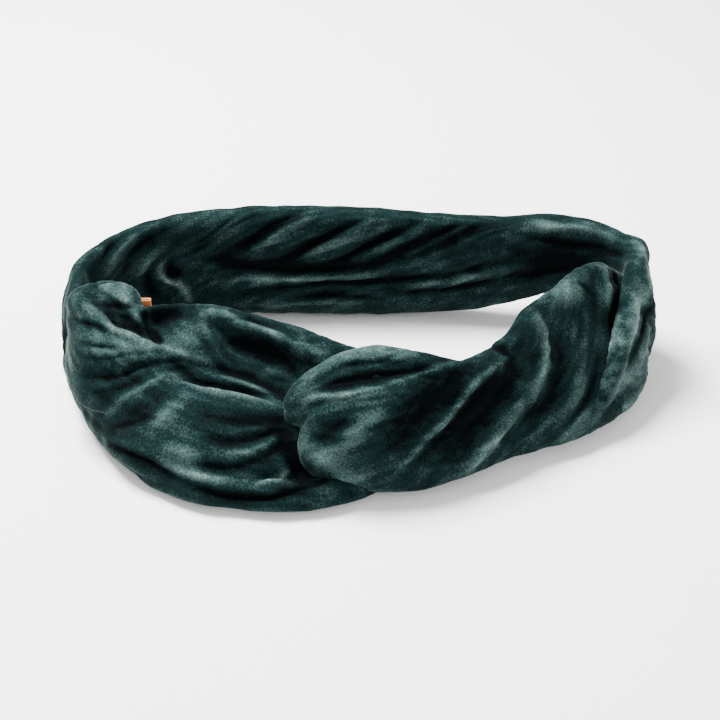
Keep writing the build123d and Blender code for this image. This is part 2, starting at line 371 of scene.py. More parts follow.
def velvet_material():
    """Crushed dark green velvet: streaks of painted highlight and shade along its creases and
    wrinkles, random mottle, fine pile, soft sheen at the edges.
    """
    made, link, shader, add = material("velvet")
    rest = add("ShaderNodeAttribute", attribute_name="rest").outputs["Vector"]
    painted_light = add("ShaderNodeAttribute", attribute_name="painted_light").outputs["Fac"]
    pile = texture(add, "ShaderNodeTexNoise", rest, 1500)
    pile.inputs["Detail"].default_value = 2
    mottle = texture(add, "ShaderNodeTexNoise", rest, 130)
    mottle.inputs["Detail"].default_value = 2
    mottle.inputs["Roughness"].default_value = 0.5
    pile_part = weighted(add, pile.outputs["Fac"], 0.6)
    pile_part.inputs[2].default_value = -0.1
    mottle_part = weighted(add, mottle.outputs["Fac"], 0.36)
    link(pile_part.outputs[0], mottle_part.inputs[2])
    # the tone adds the painted highlight and shade to the random pile and mottle
    tone = weighted(add, painted_light, 0.66)
    link(mottle_part.outputs[0], tone.inputs[2])
    # colours from the tone: near black where shade is painted, lightest where highlight is painted
    colours = add("ShaderNodeValToRGB", [("Fac", tone.outputs[0])])
    ramp = colours.color_ramp
    ramp.elements[0].position = 0.1
    ramp.elements[0].color = (0.0002, 0.001, 0.0012, 1)
    ramp.elements[1].position = 1.0
    ramp.elements[1].color = (0.108, 0.162, 0.15, 1)
    ramp.elements.new(0.42).color = (0.0033, 0.0108, 0.0108, 1)
    ramp.elements.new(0.7).color = (0.027, 0.0505, 0.0475, 1)
    link(colours.outputs["Color"], shader.inputs["Base Color"])
    shader.inputs["Roughness"].default_value = 0.9
    shader.inputs["Specular IOR Level"].default_value = 0.03
    # the sheen's weight follows the tone, so it is strongest where highlight is painted
    sheen = add("ShaderNodeMapRange", [("Value", tone.outputs[0])])
    sheen.inputs["From Min"].default_value = 0.15
    sheen.inputs["From Max"].default_value = 0.85
    sheen.inputs["To Min"].default_value = 0.02
    sheen.inputs["To Max"].default_value = 0.5
    link(sheen.outputs["Result"], shader.inputs["Sheen Weight"])
    shader.inputs["Sheen Roughness"].default_value = 0.3
    shader.inputs["Sheen Tint"].default_value = (0.45, 0.62, 0.57, 1)
    emboss(link, shader, add, pile.outputs["Fac"], strength=0.5, distance=0.0004)
    return made


def thread_material(name, colour):
    """Twisted sewing thread, with painted shade in the twist's hollows."""
    made, link, shader, add = material(name)
    place = add("ShaderNodeTexCoord").outputs["Object"]
    twist = texture(add, "ShaderNodeTexWave", place, 900)
    twist.inputs["Distortion"].default_value = 2
    # painted shade in the twist's hollows: the thread's colour at a share of its light
    dark = [part * THREAD_SHADE for part in colour[:3]] + [1]
    shade(link, shader, add, twist.outputs["Fac"], dark, colour)
    shader.inputs["Roughness"].default_value = 0.7
    shader.inputs["Specular IOR Level"].default_value = 0.15
    emboss(link, shader, add, twist.outputs["Fac"], strength=0.4, distance=0.0001)
    return made


def elastic_material():
    """White braided elastic with ribs along it, shown by grey bands of painted shade, and a fine cross
    weave.
    """
    made, link, shader, add = material("elastic")
    place = add("ShaderNodeTexCoord").outputs["Object"]
    ribs = texture(add, "ShaderNodeTexWave", place, 110, bands_direction="Z")
    weave = texture(add, "ShaderNodeTexVoronoi", place, 1400)
    # painted shade between the ribs: grey bands between white ones
    shade(link, shader, add, ribs.outputs["Fac"], (0.5, 0.49, 0.46, 1), (0.8, 0.79, 0.76, 1))
    shader.inputs["Roughness"].default_value = 0.7
    emboss(link, shader, add, weave.outputs["Distance"], strength=0.5, distance=0.0003)
    return made


def label_material():
    """Tan imitation leather with a fine grain and darker patches."""
    made, link, shader, add = material("label")
    place = add("ShaderNodeTexCoord").outputs["Object"]
    grain = texture(add, "ShaderNodeTexVoronoi", place, 1800)
    stain = texture(add, "ShaderNodeTexNoise", place, 260)
    stain.inputs["Detail"].default_value = 4
    shade(link, shader, add, stain.outputs["Fac"], (0.26, 0.075, 0.012, 1), (0.42, 0.14, 0.028, 1))
    shader.inputs["Roughness"].default_value = 0.6
    emboss(link, shader, add, grain.outputs["Distance"], strength=0.4, distance=0.0002)
    return made


def floor_material():
    """Plain white paper."""
    made, link, shader, add = material("floor")
    place = add("ShaderNodeTexCoord").outputs["Object"]
    fibre = texture(add, "ShaderNodeTexNoise", place, 400)
    shade(link, shader, add, fibre.outputs["Fac"], (0.93, 0.93, 0.933, 1), (0.95, 0.95, 0.953, 1))
    shader.inputs["Roughness"].default_value = 0.9
    return made


# ---- left loop ---------------------------------------------------------------------------------
SLOPE = (0, 0.81, 0.58)  # up the fanned-out front of the left loop


def left_rolls():
    """The fanned folds of the left loop, from its lower front edge to its upper back edge,
    and its way round the right loop inside the knot."""
    belly = [
        (-101, 8, 13, 0, 0, 1, 8.5, 3.6),
        (-98.5, -5, 13, 0.1, 0, 1, 9.5, 4),
        (-90, -17.3, 13.5, 0.25, 0.3, 0.9, 11, 5.2),
        (-80.5, -27.8, 14, 0.2, 0.6, 0.75, 13.5, 7),
        (-69, -37, 14.5, 0.1, 0.78, 0.6, 16.5, 9),
        (-53, -42, 13.5, *SLOPE, 17, 9.5),
        (-38, -44.5, 13.5, *SLOPE, 16, 9),
        (-25, -45, 14.5, *SLOPE, 13, 7.5),
        (-14, -44, 14, *SLOPE, 9, 5),
        (-4, -43, 12, *SLOPE, 6, 4),
    ]
    bottom = [
        (-100, 2, 6.5, 0, 0, 1, 5, 3.4),
        (-94.3, -8.5, 6, 0, 0.1, 1, 5, 3.4),
        (-85.5, -22.3, 5.5, 0.2, 0.2, 0.9, 5, 3.8),
        (-77.4, -35.3, 5.2, 0.2, 0.4, 0.8, 5, 4),
        (-67.8, -48.6, 5.2, 0.2, 0.4, 0.8, 5, 4.2),
        (-54, -57.5, 5.2, 0, 0.5, 0.8, 5, 4.4),
        (-38, -61, 5.2, 0, 0.5, 0.8, 5, 4.2),
        (-22, -61.8, 5.2, 0, 0.5, 0.8, 5, 4.2),
        (-7, -58.5, 5.2, 0, 0.5, 0.8, 5, 4.2),
        (4, -52.5, 5.4, 0, 0.5, 0.8, 5, 4),
        (11, -46, 6, 0, 0.5, 0.8, 5, 4),
    ]
    middle_fold = [
        (-100.5, 8, 22, 0, 0, 1, 7, 3.6),
        (-98.5, -5, 22, 0.1, 0, 1, 7.5, 4),
        (-93.5, -18.5, 22, 0.2, 0.5, 0.8, 8, 4.6),
        (-86, -26.5, 22.5, 0.1, 0.7, 0.7, 8, 5),
        (-77, -28, 24, *SLOPE, 6, 4.5),
        (-68, -24.5, 25.5, *SLOPE, 4.5, 4),
        (-58, -24.5, 25.5, *SLOPE, 4.5, 3.5),
        (-48, -26.5, 24, *SLOPE, 5, 3.5),
        (-36, -29.5, 22.5, *SLOPE, 5, 3.5),
        (-24, -34, 20.5, *SLOPE, 4.5, 3.5),
        (-14, -38, 19, *SLOPE, 4, 3),
    ]
    main_swath = [
        (-100, 18, 29.5, 0, 0, 1, 9.5, 3.6),
        (-98.5, 4, 31, 0, 0.1, 1, 10.3, 4),
        (-94.5, -9, 33, 0, 0.6, 0.8, 12, 4.6),
        (-88.5, -15.5, 33, 0, 0.75, 0.65, 12, 5.5),
        (-80, -18, 31, *SLOPE, 9, 5.5),
        (-72, -19, 30, *SLOPE, 6, 5),
        (-64, -20, 29.5, *SLOPE, 3.5, 4),
        (-55, -22.5, 27.5, *SLOPE, 2.5, 3),
    ]
    cap = [
        (-97, 22, 29, 0, 0, 1, 6, 3.4),
        (-96, 8, 33.8, -0.2, 0.3, 0.9, 6.5, 3.8),
        (-93.7, 0, 38.6, -0.2, 0.7, 0.7, 7, 4.4),
        (-88, -2.5, 40.5, 0, 0.8, 0.6, 8, 4.6),
        (-82.5, -4.3, 40.7, 0.1, 0.8, 0.6, 8.2, 4.6),
        (-77, -10, 37, 0.2, 0.8, 0.55, 5.5, 3.6),
        (-72, -14, 33.5, 0.3, 0.75, 0.5, 4, 3),
        (-67, -18, 31, 0.3, 0.7, 0.5, 3, 2.6),
    ]
    lump = [
        (-72, -13.5, 30, *SLOPE, 4, 3),
        (-65, -13.5, 33.5, *SLOPE, 6.5, 4),
        (-58, -14, 34, *SLOPE, 8, 4.4),
        (-51, -17, 31.5, *SLOPE, 8, 4.2),
        (-43, -21, 27.5, *SLOPE, 6, 3.6),
        (-34, -26, 24, *SLOPE, 4, 3),
    ]
    dish = [
        (-60, -16, 27, *SLOPE, 9, 3),
        (-48, -18.5, 27, *SLOPE, 11, 3),
        (-36, -22.5, 26, *SLOPE, 12, 3),
        (-25, -27, 26.5, *SLOPE, 11, 3),
        (-14, -31, 28, *SLOPE, 9, 3),
        (-6, -33, 30, *SLOPE, 7, 3),
    ]
    rear_ridge = [
        (-66, -8, 36, 0, 0.5, 0.8, 3, 2.6),
        (-59, -8, 38.5, 0, 0.6, 0.8, 3.2, 3),
        (-50, -9, 39, 0, 0.6, 0.8, 3.4, 3),
        (-40, -13, 38, 0, 0.6, 0.8, 3.4, 3),
        (-30, -18, 37.8, 0, 0.6, 0.8, 3.4, 3),
        (-19, -25, 37, 0, 0.6, 0.8, 3.4, 3),
        (-8, -32, 35.5, 0, 0.6, 0.8, 3.2, 3),
        (2, -37, 36, 0, 0.6, 0.8, 3, 3),
    ]
    rear_edge = [
        (-76, -8.6, 37, 0, 0.1, 1, 5, 2.2),
        (-69, -7.6, 38, 0, 0.1, 1, 5.2, 2.3),
        (-60, -7.2, 38.3, 0, 0.2, 1, 5, 2.5),
        (-50, -7.8, 38, 0, 0.3, 0.9, 4.6, 2.5),
        (-36, -12.5, 37.6, 0, 0.3, 0.9, 4.5, 2.6),
        (-20, -20.5, 37.6, 0, 0.3, 0.9, 4.5, 2.6),
        (-8, -29, 37.8, 0, 0.3, 0.9, 4.5, 2.6),
        (2, -34, 37, 0, 0.3, 0.9, 4.5, 2.8),
        (9, -37, 36.5, 0, 0.5, 0.9, 4.5, 2.8),
    ]
    backing = [
        (-100, 19, 31, 0, 0, 1, 9, 3),
        (-97.5, 3, 32, 0.1, 0, 1, 9, 3),
        (-90, -10, 31, 0.3, 0.3, 0.9, 9, 3.2),
        (-76, -15, 28, 0.1, 0.5, 0.8, 9, 3.6),
        (-62, -12, 28, 0, 0.5, 0.9, 9, 3.8),
        (-48, -13, 29, 0, 0.5, 0.9, 9, 3.8),
        (-34, -17, 29.5, 0, 0.5, 0.9, 9, 3.8),
        (-20, -24, 31, 0, 0.6, 0.8, 8, 4),
        (-8, -31, 34, 0, 0.9, 0.4, 7, 4),
        (3, -36, 36.5, 0, 1, 0, 6, 4.4),
        (12, -37.5, 32, 0.6, 1, 0, 6, 4.6),
        (15.5, -40.5, 22.5, 1, 1, 0, 6, 4.6),
        (12, -44, 12, 0.6, 1, 0, 6, 4.4),
        (2, -46.5, 8, 0, 1, 0, 6, 4),
        (-12, -47, 8.5, 0, 1, 0.2, 8, 4.4),
        (-30, -49, 9.5, 0, 1, 0.3, 10, 5),
    ]
    return [
        roll(belly, [(0.55, 0.4, 1.2, 0.1), (-0.2, 0.05, 0.9, 0.09), (-0.55, -0.3, 0.9, 0.08)]),
        roll(bottom, [(0.2, -0.1, 0.5, 0.15)]),
        roll(middle_fold, [(0.3, 0.0, 0.6, 0.12)]),
        roll(main_swath, [(0.5, 0.1, 0.6, 0.1), (-0.3, 0.0, 0.5, 0.1)]),
        roll(cap, [(0.2, 0.0, 0.6, 0.12), (-0.5, -0.3, 0.6, 0.1)]),
        roll(lump),
        roll(dish, [(0.3, 0.1, 0.6, 0.1), (-0.3, -0.1, 0.6, 0.1)]),
        roll(rear_ridge),
        roll(rear_edge),
        roll(backing),
    ]


# ---- right loop ----------------------------------------------------------------------------------
def right_rolls():
    """The right loop: its broad front, the roll over the knot, its rim, and its way back."""
    front = [
        (-19.5, -46.5, 19.5, 0.1, 0.2, 1, 9, 5),
        (-12, -50, 19, 0, 0.25, 1, 13.5, 6.5),
        (0, -51, 19, 0, 0.3, 1, 16, 7.5),
        (13, -49, 19.5, 0, 0.35, 1, 19, 7.8),
        (29, -42.5, 20, -0.05, 0.45, 0.9, 19, 7),
        (47, -32, 20, -0.1, 0.45, 0.9, 19, 6.4),
        (62, -21.5, 20.5, -0.2, 0.6, 0.77, 21.5, 6.2),
        (76, -10, 21.5, -0.3, 0.6, 0.75, 23, 6),
        (87, 1, 22.5, -0.3, 0.45, 0.86, 22, 5.6),
        (95.5, 13, 21.5, -0.2, 0.2, 1, 16.5, 4.6),
        (99, 26, 21.5, -0.1, 0, 1, 14.5, 3.8),
    ]
    over_knot = [
        (-19, -45, 22, -0.4, 0.4, 0.8, 6, 4),
        (-17.5, -43.5, 27, -0.5, 0.5, 0.7, 7.5, 5),
        (-8, -41, 33.5, -0.2, 0.75, 0.66, 9, 5.5),
        (6, -38, 36.1, 0, 0.75, 0.66, 9.5, 5.5),
        (20, -37.5, 34.6, 0, 0.7, 0.7, 8.5, 5),
        (33, -34.5, 31.8, 0, 0.6, 0.8, 6.5, 4),
        (46, -28.5, 29.5, 0, 0.6, 0.8, 5, 3),
    ]
    rim = [
        (44, -24.5, 32, -0.1, 0.5, 0.85, 5, 3.4),
        (52.7, -19.3, 34.5, -0.1, 0.5, 0.85, 6, 3.8),
        (59.2, -10.8, 37.8, -0.2, 0.6, 0.8, 6.5, 4),
        (69, -1.5, 39.5, -0.2, 0.6, 0.8, 6.5, 4),
        (76, 8, 40.5, -0.3, 0.6, 0.8, 6, 4),
        (83, 14, 40.8, -0.3, 0.5, 0.8, 5.5, 4),
        (90, 21, 34, -0.2, 0.4, 0.9, 5, 3.8),
        (96.5, 28, 28, 0, 0, 1, 5, 3.4),
    ]
    rear = [
        (-19.5, -45.5, 21, 0, 0.3, 0.95, 6.5, 4),
        (-21, -40.5, 22, 0, 0.3, 0.95, 7, 4.2),
        (-20, -34.5, 20.5, 0, 0.3, 0.95, 8, 4.2),
        (-7, -30, 20, 0, 0.3, 0.95, 10.5, 4),
        (14, -29, 20.5, 0, 0.3, 0.95, 11.5, 4),
        (36, -26.5, 21, 0, 0.4, 0.9, 11, 4.2),
        (56, -17, 25, -0.1, 0.5, 0.85, 12, 4.4),
        (71, -3, 29, -0.2, 0.5, 0.85, 12.5, 4.4),
        (84, 9, 29, -0.2, 0.4, 0.9, 11.5, 4.2),
        (94, 20, 26, -0.1, 0.2, 1, 9, 4),
        (98.5, 28, 26, 0, 0, 1, 8, 3.4),
    ]
    return [
        roll(front, [(0.5, 0.3, 0.8, 0.08), (0.1, -0.2, 0.8, 0.08), (-0.4, -0.6, 0.8, 0.08)]),
        roll(over_knot, [(0.3, 0.2, 0.8, 0.12)]),
        roll(rim),
        roll(rear, [(0.4, 0.2, 0.8, 0.1), (-0.3, -0.1, 0.8, 0.1)]),
    ]


# ---- back tube -------------------------------------------------------------------------------------
def tube_rolls():
    """The gathered tube: two lobes that twist past each other round the back, and its ends."""
    core = [
        (-100.3, -3, 21, 0.1, 0, 1, 13, 3.8),
        (-100.3, 9, 23, 0.1, 0, 1, 19.5, 5),
        (-99.5, 24, 23, 0.15, 0, 1, 21, 4.8),
        (-91, 37.5, 22.5, 0.15, -0.1, 1, 21, 5),
        (-77, 48, 22, 0, 0, 1, 20.5, 5.5),
        (-45, 54, 22, 0, 0, 1, 20.5, 6.3),
        (0, 55, 22, 0, 0, 1, 20.5, 6.3),
        (30, 54, 22.5, 0, 0, 1, 19.5, 6.3),
        (60, 51, 26, 0, 0, 1, 16, 5.8),
        (80, 46, 28.5, 0, 0, 1, 14, 5.4),
        (94, 37.5, 25, 0, 0, 1, 17, 5),
        (99.5, 24, 23, -0.1, 0, 1, 20, 4.8),
        (100.5, 10, 23, -0.1, 0, 1, 19, 4.6),
    ]
    upper_lobe = [
        (-100.3, 12, 23.5, 0.12, 0, 1, 20.5, 5.4),
        (-100.3, 20, 23.5, 0.14, 0, 1, 21.5, 6),
        (-96.3, 29.5, 24, 0.2, 0, 1, 21.5, 6.4),
        (-88.3, 39.2, 25, 0.15, -0.1, 1, 20.5, 6.8),
        (-74.5, 48.3, 28, 0, -0.1, 1, 17.5, 7.2),
        (-52, 54.8, 31.2, 0, -0.15, 1, 14.5, 7.8),
        (-25, 57, 31.2, 0, -0.15, 1, 14.5, 7.8),
        (0, 56.5, 31.5, 0, -0.1, 1, 13.5, 7.6),
        (22, 56, 32.8, 0, -0.1, 1, 10.6, 7),
        (42, 54.5, 35.2, 0, -0.1, 1, 7.5, 6),
        (60, 52, 38, 0, 0, 1, 4.8, 5),
        (75, 48, 40, 0, 0, 1, 3, 3.6),
    ]
    lower_lobe = [
        (-74, 45, 9.5, 0, 0, 1, 7, 5),
        (-66, 49, 11, 0, 0.1, 1, 10, 6.6),
        (-50, 53, 11.7, 0, 0.1, 1, 10.3, 7.4),
        (-25, 55, 11, 0, 0.1, 1, 9.7, 7.6),
        (0, 55.5, 11, 0, 0.1, 1, 10.5, 7.6),
        (22, 55.5, 14.1, 0, 0.1, 1, 13.2, 7.6),
        (42, 54.5, 19.4, 0, 0.1, 1, 16.4, 7.4),
        (60, 52.5, 26.3, 0, 0.05, 1, 17, 7.2),
        (77, 48.5, 29.9, 0, 0, 1, 15.9, 7),
        (92, 40, 27.5, 0, 0, 1, 18, 6.6),
        (99.7, 28, 24.5, -0.1, 0, 1, 21, 6),
        (100.2, 16, 23.5, -0.12, 0, 1, 20.5, 5.6),
        (100, 8, 22.5, -0.12, 0, 1, 19.5, 5.2),
    ]
    right_flap = [
        (93, 43, 37, 0, 0, 1, 5.5, 3),
        (100.5, 33, 39, 0, 0, 1, 6, 3.8),
        (98, 22.5, 37.8, 0, -0.2, 1, 5.5, 3.8),
        (94.5, 10.4, 33, 0, -0.3, 1, 5, 3.8),
        (91, -1.8, 26, 0, -0.4, 1, 5, 3.6),
        (87.2, -11.8, 18.4, 0, -0.4, 1, 5, 3.4),
        (81.5, -20.8, 11.3, 0, -0.2, 1, 4.5, 3.2),
        (74, -27, 6.5, 0, 0, 1, 3, 2.4),
    ]
    right_skirt = [
        (92, 43, 24, -0.1, 0, 1, 15, 2.6),
        (99.6, 29, 21.5, -0.1, 0, 1, 18, 4),
        (99.5, 12, 18, -0.1, 0, 1, 15.5, 4.4),
        (96.3, -1, 14.5, -0.1, 0.2, 1, 12.5, 4.2),
        (90, -11.5, 11.5, -0.1, 0.3, 1, 9.5, 3.8),
        (82.3, -20, 8.5, 0, 0.3, 1, 6.5, 3.2),
        (75, -27, 6, 0, 0.3, 1, 4, 2.4),
    ]
    left_skirt = [
        (-89, 42, 22.5, 0.12, 0, 1, 16, 2.6),
        (-100.5, 27, 22.5, 0.12, 0, 1, 19.5, 3.4),
        (-103.2, 13, 21, 0.12, 0, 1, 19, 2.8),
        (-101.3, 2, 18, 0.1, 0, 1, 15.5, 2.6),
        (-96.5, -8, 13, 0.05, 0, 1, 11, 2.4),
        (-91, -15.5, 8.5, 0, 0, 1, 7, 2.2),
    ]
    return [
        roll(
            upper_lobe,
            [
                (-0.9, 0.6, 1.2, 0.07),
                (-0.5, 1.0, 1.0, 0.06),
                (-0.1, 1.3, 0.9, 0.05),
                (-1.3, 0.2, 1.0, 0.06),
            ],
        ),
        roll(core),
        roll(lower_lobe, [(0.1, 0.5, 1.3, 0.07), (-0.5, -0.1, 1.0, 0.06), (0.6, 0.8, 0.8, 0.05)]),
        roll(right_flap),
        roll(right_skirt, [(0.3, 0.0, 0.4, 0.1), (-0.4, -0.3, 0.4, 0.1)]),
        roll(left_skirt, [(0.3, 0.0, 0.7, 0.08), (-0.4, -0.3, 0.6, 0.08)]),
    ]


# ---- creases -------------------------------------------------------------------------------------
# Each is (height, half width, sheen, points on or near the skin); the sheen is painted
# light, a painted highlight where over 0 and painted shade where below 0.
LEFT_CREASES = [
    # the main swath's folded upper edge, over the cap
    (1.3, 1.6, 0.55, [(-94, -8, 44), (-87, -12, 43), (-83, -16, 39), (-77, -17, 37), (-70, -18, 35)]),
    (0.9, 1.5, 0.5, [(-73, -18, 36), (-64, -20, 34), (-53, -24, 30), (-45, -28, 27)]),
    (-1.6, 1.5, -0.5, [(-91, -5, 45), (-86, -10, 44), (-83, -13, 41), (-77, -14, 38), (-66, -18, 35)]),
    (0.3, 7.0, 0.22, [(-95, -12, 36), (-89, -18, 37), (-81, -21, 35), (-72, -21, 34), (-63, -21, 33)]),
    # between the main swath and the middle fold
    (-1.7, 1.4, -0.5, [(-93, -25, 26), (-86, -28, 28), (-80, -28, 29), (-72, -25, 31), (-65, -24, 31)]),
    (-1.2, 1.3, -0.4, [(-68, -24, 31), (-58, -23, 31), (-52, -24, 29), (-44, -27, 27)]),
    # the belly's crest and the valley above it
    (1.3, 1.8, 0.45, [(-87, -34, 16), (-77, -34, 24), (-69, -31, 27), (-65, -28, 28), (-60, -27, 28)]),
    (1.2, 1.5, 0.55, [(-61, -28, 28), (-56, -32, 27), (-48, -34, 27), (-36, -37, 26), (-27, -41, 25)]),
    (-1.8, 1.5, -0.5, [(-65, -26, 29), (-60, -25, 29), (-55, -28, 27), (-46, -30, 26), (-30, -34, 25)]),
    (-1.0, 2.2, -0.45, [(-90, -31, 23), (-84, -32, 25), (-78, -32, 27), (-71, -28, 29)]),
    # under the belly, along the bottom roll
    (-2.0, 1.5, -0.7, [(-85, -41, 10), (-77, -48, 12), (-68, -53, 12), (-63, -55, 10), (-56, -59, 9)]),
    (-2.2, 1.5, -0.7,
     [(-58, -58, 9), (-51, -62, 8), (-38, -65, 7), (-30, -65, 7), (-16, -62, 10), (-9, -57, 10)]),
    (0.8, 1.6, 0.35, [(-66, -52, 14), (-60, -56, 11), (-51, -59, 11), (-42, -61, 10)]),
    # streaks on the belly
    (1.0, 3.0, 0.45, [(-70, -46, 20), (-64, -44, 22), (-61, -40, 24), (-55, -37, 26)]),
    (1.2, 3.4, 0.38, [(-65, -52, 15), (-58, -52, 16), (-49, -53, 16)]),
    (0.6, 2.4, 0.3, [(-61, -55, 12), (-52, -58, 11), (-42, -60, 11)]),
    (-1.4, 2.6, -0.6, [(-54, -42, 24), (-42, -45, 23), (-32, -46, 23), (-24, -45, 22)]),
    (-1.3, 1.8, -0.5, [(-52, -50, 20), (-40, -51, 19), (-31, -49, 20), (-23, -47, 21)]),
    (0.8, 1.6, 0.3, [(-48, -46, 22), (-38, -48, 21), (-28, -47, 22)]),
    (-1.2, 1.8, -0.5, [(-54, -56, 13), (-43, -57, 13), (-32, -55, 15), (-24, -50, 18)]),
    (0.9, 1.3, 0.45, [(-44, -54, 16), (-34, -53, 17), (-25, -49, 20)]),
    (1.0, 1.2, 0.7, [(-34, -62, 9), (-27, -59, 10), (-21, -55, 12)]),
    (-0.8, 4.0, -0.35, [(-87, -36, 13), (-77, -39, 20), (-69, -38, 24), (-64, -34, 27)]),
    (-0.8, 1.3, -0.3, [(-82, -38, 14), (-74, -42, 20), (-67, -42, 23)]),
    # the gap beside the knot, darkened with painted shade
    (-2.8, 2.6, -1.0, [(-26, -44, 25), (-24.5, -49, 20), (-21.5, -54, 16), (-16.5, -58, 12), (-11, -60, 9)]),
    # the hollow under the rear edge, darkened with painted shade
    (-1.5, 6.5, -0.5, [(-47, -18, 34), (-35, -20, 33), (-26, -26, 32), (-20, -31, 30)]),
    (1.1, 1.5, 0.6,
     [(-57, -12, 40), (-49, -10, 42), (-40, -14, 41), (-30, -19, 40), (-20, -25, 39), (-12, -31, 38)]),
    (-1.2, 1.1, -0.4, [(-46, -12, 40), (-36, -14, 40), (-26, -20, 39), (-16, -28, 38)]),
    (0.8, 1.3, 0.4, [(-46, -19, 33), (-37, -22, 32), (-28, -27, 30), (-20, -32, 28)]),
    (-0.8, 1.1, -0.4, [(-45, -16, 35), (-34, -19, 34), (-24, -25, 33)]),
    (1.1, 1.2, 0.6, [(-47, -27, 28), (-37, -30, 26), (-32, -32, 25), (-27, -36, 24)]),
    (-1.3, 1.3, -0.6, [(-48, -24, 29), (-40, -26, 28), (-33, -29, 26), (-26, -34, 25)]),
    (0.6, 4.5, 0.45, [(-63, -19, 35), (-57, -17, 37), (-51, -13, 39)]),
    (-0.9, 1.2, -0.3, [(-60, -14, 38), (-54, -17, 36), (-48, -21, 33)]),
    (-0.6, 3.6, -0.7, [(-71, -10.5, 40), (-66, -10, 40), (-60, -9.5, 41)]),
    (-2.2, 1.3, -0.9, [(-73.5, -9, 42), (-71.5, -12, 38.5), (-69, -15, 35.5), (-66, -18, 33.5)]),
    (0.7, 2.4, 0.5, [(-86, -2, 46), (-80, -6, 44), (-76, -10, 41), (-72.5, -13.5, 38), (-69, -17, 35)]),
    # the cap and its neighbour
    (0.5, 4.5, 0.45, [(-92, -3, 45), (-87, -1, 47), (-81, -2, 46), (-75, -6, 44)]),
    (-1.3, 1.2, -0.55, [(-88, -7, 44), (-82, -8, 43), (-76, -8, 42)]),
    (-1.2, 1.6, -0.55, [(-84, -10, 43), (-77, -12, 39), (-70, -15, 36)]),
    (-0.8, 1.1, -0.3, [(-92, 0, 46), (-85, 1, 46), (-79, 0, 45)]),
    (-0.8, 0.9, -0.35, [(-93, 2, 42), (-86, -4, 45), (-80, -9, 42), (-75, -13, 38)]),
    (-0.8, 0.9, -0.35, [(-96, -6, 38), (-92, -12, 39), (-86, -16, 39), (-79, -19, 37)]),
    (-0.7, 0.9, -0.3, [(-97, -12, 34), (-92, -18, 35), (-85, -21, 35), (-77, -22, 34)]),
    (0.7, 3.6, 0.28, [(-94, -16, 36), (-87, -20, 36), (-78, -22, 35), (-68, -22, 33)]),
    (-0.8, 1.0, -0.3, [(-95, -12, 39), (-90, -14, 40), (-84, -17, 39)]),
    (-0.8, 1.0, -0.3, [(-92, -22, 31), (-83, -24, 33), (-75, -23, 34), (-66, -21, 33)]),
    (-0.7, 0.9, -0.2, [(-95, -17, 33), (-88, -20, 34), (-80, -21, 35)]),
]
RIGHT_CREASES = [
    # the roll over the knot and the valley in front of it
    (0.5, 4.0, 0.5, [(-19, -45, 33), (-14, -40, 38), (-5, -36, 42), (6, -35, 43), (19, -36, 42)]),
    (-1.8, 2.0, -0.8, [(-14, -45, 36), (-8, -44, 37), (0, -43, 38), (13, -41, 39), (24, -38, 39)]),
    (-0.9, 1.2, -0.4, [(-15, -42, 36), (-5, -39, 40), (6, -38, 41), (16, -38, 41)]),
    (1.2, 1.3, 0.65, [(-19, -48, 30), (-15, -47, 33), (-10, -47, 34), (-2, -47, 35), (8, -45, 37)]),
    (1.1, 1.2, 0.55, [(5, -46, 37), (19, -41, 38), (29, -36, 39), (38, -31, 38)]),
    # the front's soft left end
    (0.5, 4.0, 0.45, [(-19, -49, 24), (-18, -53, 21), (-13, -57, 17), (-5, -59, 12), (5, -60, 8)]),
    (0.7, 3.0, 0.45, [(-13, -56, 17), (-8, -57, 22), (-1, -56, 27), (5, -53, 31), (10, -50, 34)]),
    (-0.9, 2.6, -0.5, [(-13, -52, 28), (-8, -54, 28), (-4, -54, 31)]),
    (-0.7, 1.3, -0.3, [(-16, -53, 24), (-10, -56, 24), (-4, -57, 25)]),
    (-1.5, 6.0, -0.6, [(8, -57, 21), (19, -50, 30), (29, -42, 35), (39, -32, 37)]),
    # diagonal folds
    (1.3, 1.2, 0.65,
     [(11, -59, 12), (21, -54, 22), (30, -46, 27), (35, -41, 31),
      (40, -36, 34), (46, -30, 35), (51, -24, 36)]),
    (-1.0, 2.0, -0.4, [(15, -58, 12), (25, -52, 21), (33, -45, 26), (39, -38, 30), (46, -32, 32)]),
    (1.4, 2.2, 0.6, [(30, -54, 6), (40, -48, 12), (46, -43, 16), (53, -36, 21), (59, -30, 23)]),
    (1.3, 1.8, 0.6, [(57, -32, 22), (61, -25, 27), (62, -19, 31), (61, -14, 37), (57, -12, 42)]),
    (-1.4, 4.5, -0.6, [(23, -56, 12), (33, -49, 19), (42, -40, 26), (50, -31, 31), (54, -21, 36)]),
    (-1.2, 3.5, -0.4, [(48, -44, 12), (57, -36, 18), (65, -28, 22), (68, -19, 28), (66, -10, 36)]),
    (0.5, 2.6, 0.25, [(56, -40, 10), (66, -32, 14), (73, -25, 19), (76, -16, 26), (74, -6, 35)]),
    (-0.9, 2.0, -0.35, [(62, -38, 7), (73, -29, 13), (80, -21, 18), (82, -11, 26)]),
    (-1.6, 1.3, -0.8, [(43, -23, 38), (46, -24, 37), (50, -27, 36)]),
    # the peak by the mouth
    (0.6, 4.0, 0.6, [(64, -5, 44), (70, -1, 44), (76, 4, 44)]),
    (0.9, 1.6, 0.5, [(79, 11, 46), (84, 13, 45), (87, 9, 41), (86, 3, 36)]),
    (-0.8, 1.4, -0.4, [(73, 4, 44), (80, 4, 42), (83, -2, 37)]),
    (-1.6, 2.2, -1.0, [(92, 19, 40), (92, 12, 38), (90, 4, 34), (87, -4, 28)]),
    (0.7, 3.5, 0.45, [(66, -35, 5), (74, -29, 9), (82, -24, 12)]),
]
